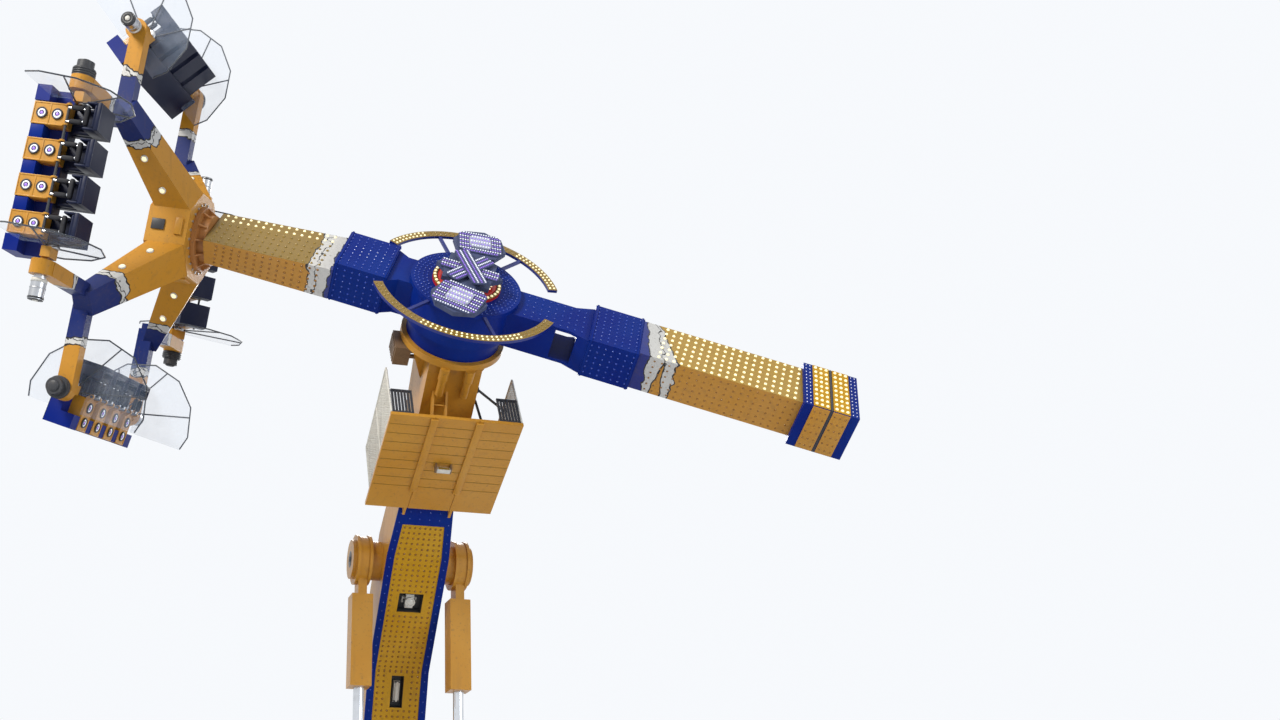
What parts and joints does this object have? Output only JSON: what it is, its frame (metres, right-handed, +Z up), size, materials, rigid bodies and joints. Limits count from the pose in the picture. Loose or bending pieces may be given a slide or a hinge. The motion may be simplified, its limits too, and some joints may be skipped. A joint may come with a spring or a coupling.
{
  "type": "counterweighted swing arm fairground ride",
  "caption": "Fairground ride: leaning mast, tilted hub, long counterweighted arm with a rotating spider and seat gondolas on swivelling beams.",
  "frame": {"origin": "on the ground, straight below the centre of the hub, on the underside of the middle pad", "axes": "+Z up, -Y towards the front that the hub faces, +X to the ride's right as seen from its front"},
  "size_m": [15.5342, 12.6093, 19.1846],
  "materials": {
    "yellow_paint": "semi-gloss warm yellow paint",
    "blue_paint": "gloss deep blue paint",
    "gold_panel": "satin gold sheet behind rows of lamps",
    "white_paint": "off-white paint",
    "dark_paint": "dark grey paint",
    "brown_paint": "brown paint, weathered",
    "steel": "bare steel, worn",
    "chrome_rod": "polished",
    "red_plastic": "gloss red with gold rim",
    "sign_plastic": "grey lamp board",
    "pale_plastic": "pale lamp housings",
    "seat_blue": "gloss dark blue shell",
    "clear_sheet": "clear sheet in a tube frame"
  },
  "bodies": {
    "base_mast": {"chassis": "yellow_paint", "outriggers": "yellow_paint", "jack_feet": "steel", "mast_foot": "yellow_paint", "mast_lower": "yellow_paint", "mast_upper": "yellow_paint", "mast_neck": "yellow_paint", "trunnions": "yellow_paint", "strut_heads": "yellow_paint", "strut_rods": "chrome_rod", "strut_barrels": "yellow_paint", "decor_border": "blue_paint", "lamp_panel": "gold_panel", "lamp_units": "pale_plastic", "platform_floor": "yellow_paint", "side_fences": "white_paint", "front_fences": "dark_paint", "valve_box": "brown_paint", "stay_tubes": "dark_paint", "slew_flange": "yellow_paint", "hub_motors": "dark_paint", "louvre_box": "brown_paint", "service_ladder": "white_paint"},
    "arm": {"hub_drum": "blue_paint", "arm_frame": "blue_paint", "front_disc": "blue_paint", "centre_boss": "red_plastic", "centre_sign": "sign_plastic", "lamp_arcs": "gold_panel", "boom": "yellow_paint", "tail": "yellow_paint", "counterweight": "blue_paint", "collar": "yellow_paint"},
    "spider": {"spider_hub": "yellow_paint", "spider_arm_1": "yellow_paint", "spider_arm_2": "yellow_paint", "spider_arm_3": "yellow_paint", "spider_arm_4": "yellow_paint", "brake_motors": "dark_paint", "slip_rings": "chrome_rod"},
    "gondola_1": {"gondola_beam_1": "seat_blue", "head_boxes_1": "yellow_paint", "shields_1": "clear_sheet"},
    "gondola_2": {"gondola_beam_2": "seat_blue", "head_boxes_2": "yellow_paint", "shields_2": "clear_sheet"},
    "gondola_3": {"gondola_beam_3": "seat_blue", "head_boxes_3": "yellow_paint", "shields_3": "clear_sheet"},
    "gondola_4": {"gondola_beam_4": "seat_blue", "head_boxes_4": "yellow_paint", "shields_4": "clear_sheet"},
    "harness_1": {"harnesses_1": "chrome_rod"},
    "harness_2": {"harnesses_2": "chrome_rod"},
    "harness_3": {"harnesses_3": "chrome_rod"},
    "harness_4": {"harnesses_4": "chrome_rod"}
  },
  "joints": [
    {"name": "arm_spin", "type": "hinge", "parent": "base_mast", "child": "arm", "pos_m": [0, 0, 12.17632], "axis": [0, -0.866, 0.5], "continuous": true},
    {"name": "spider_spin", "type": "hinge", "parent": "arm", "child": "spider", "pos_m": [-5.10535, 0.2934, 14.09451], "axis": [-0.9256, 0.3277, 0.1893], "continuous": true},
    {"name": "gondola_1_spin", "type": "hinge", "parent": "spider", "child": "gondola_1", "pos_m": [-7.34359, -2.41768, 13.54783], "axis": [0.0986, -0.2743, 0.9566], "continuous": true},
    {"name": "gondola_2_spin", "type": "hinge", "parent": "spider", "child": "gondola_2", "pos_m": [-5.77088, -0.2825, 17.54181], "axis": [0.3654, 0.9041, 0.2216], "continuous": true},
    {"name": "gondola_3_spin", "type": "hinge", "parent": "spider", "child": "gondola_3", "pos_m": [-4.86648, 3.71221, 15.05011], "axis": [-0.0986, 0.2743, -0.9566], "continuous": true},
    {"name": "gondola_4_spin", "type": "hinge", "parent": "spider", "child": "gondola_4", "pos_m": [-6.43918, 1.57703, 11.05614], "axis": [-0.3654, -0.9041, -0.2216], "continuous": true},
    {"name": "harness_1_lift", "type": "hinge", "parent": "gondola_1", "child": "harness_1", "pos_m": [-7.4298, -2.74886, 13.46176], "axis": [-0.0986, 0.2743, -0.9566], "range_deg": [0, 100]},
    {"name": "harness_2_lift", "type": "hinge", "parent": "gondola_2", "child": "harness_2", "pos_m": [-5.94298, -0.28844, 17.84982], "axis": [-0.3654, -0.9041, -0.2216], "range_deg": [0, 100]},
    {"name": "harness_3_lift", "type": "hinge", "parent": "gondola_3", "child": "harness_3", "pos_m": [-4.51977, 3.77552, 15.03254], "axis": [0.0986, -0.2743, 0.9566], "range_deg": [0, 100]},
    {"name": "harness_4_lift", "type": "hinge", "parent": "gondola_4", "child": "harness_4", "pos_m": [-6.11452, 1.46605, 10.97366], "axis": [0.3654, 0.9041, 0.2216], "range_deg": [0, 100]}
  ]
}
